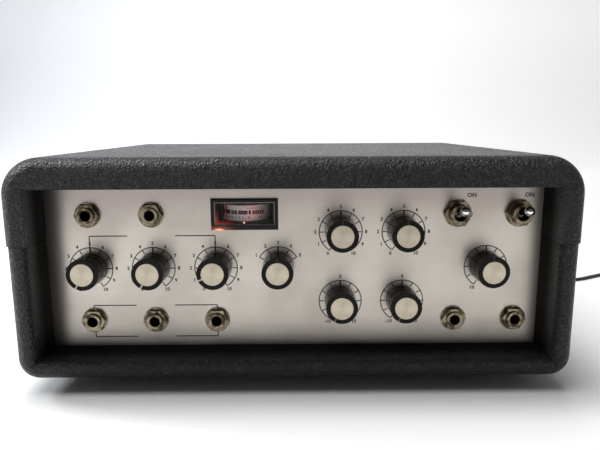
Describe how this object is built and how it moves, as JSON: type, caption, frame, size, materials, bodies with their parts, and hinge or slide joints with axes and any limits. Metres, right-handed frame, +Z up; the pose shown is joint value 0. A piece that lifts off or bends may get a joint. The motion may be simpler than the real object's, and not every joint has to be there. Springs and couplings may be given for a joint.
{
  "type": "tape echo unit",
  "caption": "Tabletop tape echo unit: vinyl-covered cabinet with lift-off lid, recessed aluminium panel with knobs, jacks, switches and meter, tape deck inside, mains cord.",
  "frame": {"origin": "on the surface the unit stands on, under the middle of the cabinet", "axes": "+X to the right as seen from the front, +Y from the front to the back, +Z up"},
  "size_m": [0.608, 0.383, 0.1393],
  "materials": {
    "vinyl": "fine pebble grain, matt",
    "panel": "brushed along its length",
    "deck": "satin",
    "zinc": "zinc plated sheet",
    "bright_steel": "polished",
    "aged_brass": "tarnished nickel over brass",
    "knob_black": "glossy",
    "cap": "spun, champagne",
    "charcoal": "satin",
    "scale": "matt",
    "needle": "matt",
    "window": "clear",
    "lamp": "lit red",
    "rubber": "matt",
    "board": "green laminate with black capacitors",
    "iron": "varnished laminations",
    "ivory": "smooth",
    "tape": "satin"
  },
  "bodies": {
    "cabinet": {"lower_cabinet": "vinyl", "lid_pins": "bright_steel", "rubber_feet": "rubber", "screws": "zinc", "front_panel": "panel", "chassis": "zinc", "meter_frame": "charcoal", "meter_body": "charcoal", "meter_scale": "scale", "meter_window": "window", "meter_lamp": "lamp", "controls": "zinc", "control_nuts": "zinc", "jacks": "aged_brass", "jack_nuts": "aged_brass", "toggle_switches": "zinc", "toggle_nuts": "aged_brass", "deck_plate": "deck", "deck_posts": "aged_brass", "amplifier_board": "board", "power_transformer": "iron", "motor": "zinc", "drive_belt": "rubber", "capstan_bearing": "aged_brass", "pinch_spring": "bright_steel", "tape_heads": "iron", "tape_guides": "bright_steel", "tape_loop": "tape", "cord_gland": "rubber", "mains_cord": "rubber", "cord_coil": "rubber", "plug": "rubber"},
    "lid": {"lid": "vinyl"},
    "needle": {"meter_needle": "needle"},
    "mic_control_1": {"mic_knob_1": "knob_black", "mic_spindle_1": "cap"},
    "mic_control_2": {"mic_knob_2": "knob_black", "mic_spindle_2": "cap"},
    "mic_control_3": {"mic_knob_3": "knob_black", "mic_spindle_3": "cap"},
    "mode_control": {"mode_knob": "knob_black", "mode_spindle": "cap"},
    "repeat_control": {"repeat_knob": "knob_black", "repeat_spindle": "cap"},
    "echo_control": {"echo_knob": "knob_black", "echo_spindle": "cap"},
    "bass_control": {"bass_knob": "knob_black", "bass_spindle": "cap"},
    "treble_control": {"treble_knob": "knob_black", "treble_spindle": "cap"},
    "delay_control": {"delay_knob": "knob_black", "delay_spindle": "cap"},
    "standby_lever": {"standby_lever": "bright_steel"},
    "power_lever": {"power_lever": "bright_steel"},
    "capstan": {"flywheel": "bright_steel"},
    "motor_pulley": {"motor_pulley": "aged_brass"},
    "pinch_lever": {"pinch_lever": "bright_steel"},
    "pinch_roller": {"pinch_roller": "rubber"},
    "left_roller": {"guide_roller_left": "ivory"},
    "right_roller": {"guide_roller_right": "ivory"}
  },
  "joints": [
    {"name": "mic_control_1_turn", "type": "hinge", "parent": "cabinet", "child": "mic_control_1", "pos_m": [-0.1239, -0.0985, 0.0707], "axis": [0, 1, 0], "range_deg": [0, 304]},
    {"name": "mic_control_2_turn", "type": "hinge", "parent": "cabinet", "child": "mic_control_2", "pos_m": [-0.0859, -0.0985, 0.0707], "axis": [0, 1, 0], "range_deg": [0, 304]},
    {"name": "mic_control_3_turn", "type": "hinge", "parent": "cabinet", "child": "mic_control_3", "pos_m": [-0.0479, -0.0985, 0.0707], "axis": [0, 1, 0], "range_deg": [-36, 268]},
    {"name": "mode_control_turn", "type": "hinge", "parent": "cabinet", "child": "mode_control", "pos_m": [-0.0099, -0.0985, 0.0707], "axis": [0, 1, 0], "range_deg": [-60, 60]},
    {"name": "repeat_control_turn", "type": "hinge", "parent": "cabinet", "child": "repeat_control", "pos_m": [0.0281, -0.0985, 0.0926], "axis": [0, 1, 0], "range_deg": [-152, 152]},
    {"name": "echo_control_turn", "type": "hinge", "parent": "cabinet", "child": "echo_control", "pos_m": [0.0661, -0.0985, 0.0926], "axis": [0, 1, 0], "range_deg": [-152, 152]},
    {"name": "bass_control_turn", "type": "hinge", "parent": "cabinet", "child": "bass_control", "pos_m": [0.0281, -0.0985, 0.0493], "axis": [0, 1, 0], "range_deg": [0, 304]},
    {"name": "treble_control_turn", "type": "hinge", "parent": "cabinet", "child": "treble_control", "pos_m": [0.0661, -0.0985, 0.0493], "axis": [0, 1, 0], "range_deg": [0, 304]},
    {"name": "delay_control_turn", "type": "hinge", "parent": "cabinet", "child": "delay_control", "pos_m": [0.1169, -0.0985, 0.0707], "axis": [0, 1, 0], "range_deg": [-152, 152]},
    {"name": "standby_flip", "type": "hinge", "parent": "cabinet", "child": "standby_lever", "pos_m": [0.0984, -0.0995, 0.1037], "axis": [1, 0, 0], "range_deg": [0, 26]},
    {"name": "power_flip", "type": "hinge", "parent": "cabinet", "child": "power_lever", "pos_m": [0.1354, -0.0995, 0.1037], "axis": [1, 0, 0], "range_deg": [0, 26]},
    {"name": "needle_swing", "type": "hinge", "parent": "cabinet", "child": "needle", "pos_m": [-0.0298, -0.0805, 0.1038], "axis": [0, 0, 1], "range_deg": [0, 100]},
    {"name": "lid_lift", "type": "slide", "parent": "cabinet", "child": "lid", "axis": [0, 0, 1], "range_m": [0, 0.16]},
    {"name": "capstan_spin", "type": "hinge", "parent": "cabinet", "child": "capstan", "pos_m": [0.072, -0.0185, 0.1], "axis": [0, 0, 1], "continuous": true},
    {"name": "motor_spin", "type": "hinge", "parent": "cabinet", "child": "motor_pulley", "pos_m": [0, 0.0295, 0.1], "axis": [0, 0, 1], "continuous": true},
    {"name": "left_roller_spin", "type": "hinge", "parent": "cabinet", "child": "left_roller", "pos_m": [-0.104, 0.074, 0.1], "axis": [0, 0, 1], "continuous": true},
    {"name": "right_roller_spin", "type": "hinge", "parent": "cabinet", "child": "right_roller", "pos_m": [0.104, 0.074, 0.1], "axis": [0, 0, 1], "continuous": true},
    {"name": "pinch_close", "type": "hinge", "parent": "cabinet", "child": "pinch_lever", "pos_m": [0.098, -0.04465, 0.09], "axis": [0, 0, -1], "range_deg": [0, 4.4]},
    {"name": "pinch_spin", "type": "hinge", "parent": "pinch_lever", "child": "pinch_roller", "pos_m": [0.072, -0.03165, 0.1], "axis": [0, 0, 1], "continuous": true}
  ],
  "couplings": [
    {"joint": "motor_spin", "follows": "capstan_spin", "ratio": 4.7333},
    {"joint": "left_roller_spin", "follows": "capstan_spin", "ratio": 0.3571},
    {"joint": "right_roller_spin", "follows": "capstan_spin", "ratio": 0.3571},
    {"joint": "pinch_spin", "follows": "capstan_spin", "ratio": -0.3125}
  ]
}
